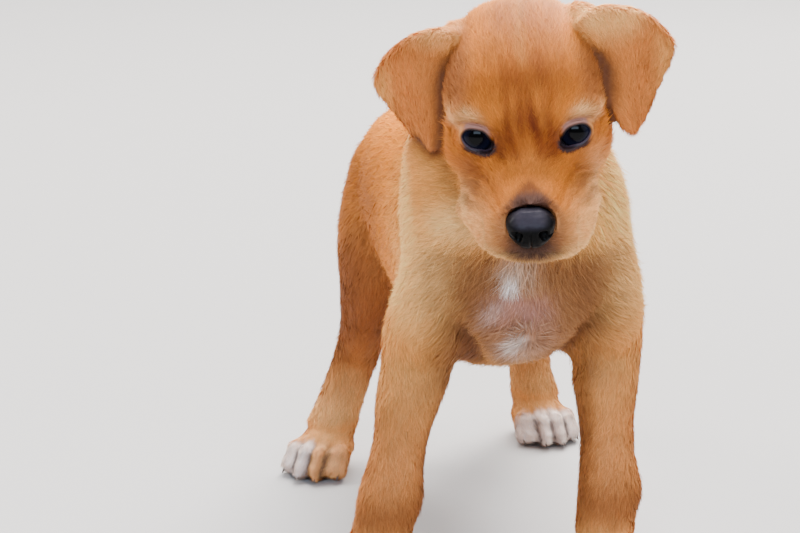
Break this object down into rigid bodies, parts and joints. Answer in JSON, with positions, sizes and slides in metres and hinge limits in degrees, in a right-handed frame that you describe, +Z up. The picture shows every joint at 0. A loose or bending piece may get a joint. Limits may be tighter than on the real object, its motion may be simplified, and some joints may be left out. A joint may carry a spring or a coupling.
{
  "type": "puppy",
  "caption": "Life-size standing puppy with a short tan coat, folded ears, a lowered head turned a little to one side and a slack tail.",
  "frame": {"origin": "on the floor, under the middle of the bounding box", "axes": "+Z is up; the body lies along Y with the chest towards -Y and the tail towards +Y; +X is the puppy's left"},
  "size_m": [0.2102, 0.3618, 0.3074],
  "materials": {
    "coat": "short soft coat",
    "ears": "very short velvety coat",
    "paws": "short coat with pale toes and dark claws",
    "nose": "moist, finely pebbled",
    "eyes": "wet and glossy"
  },
  "bodies": {
    "root": {"head": "coat", "lower_jaw": "coat", "nose": "nose", "ear_left": "ears", "ear_right": "ears", "eye_left": "eyes", "eye_right": "eyes", "neck": "coat", "trunk": "coat", "tail": "coat", "leg_front_left": "coat", "leg_front_right": "coat", "leg_hind_left": "coat", "leg_hind_right": "coat", "paw_front_left": "paws", "paw_front_right": "paws", "paw_hind_left": "paws", "paw_hind_right": "paws"}
  },
  "joints": []
}
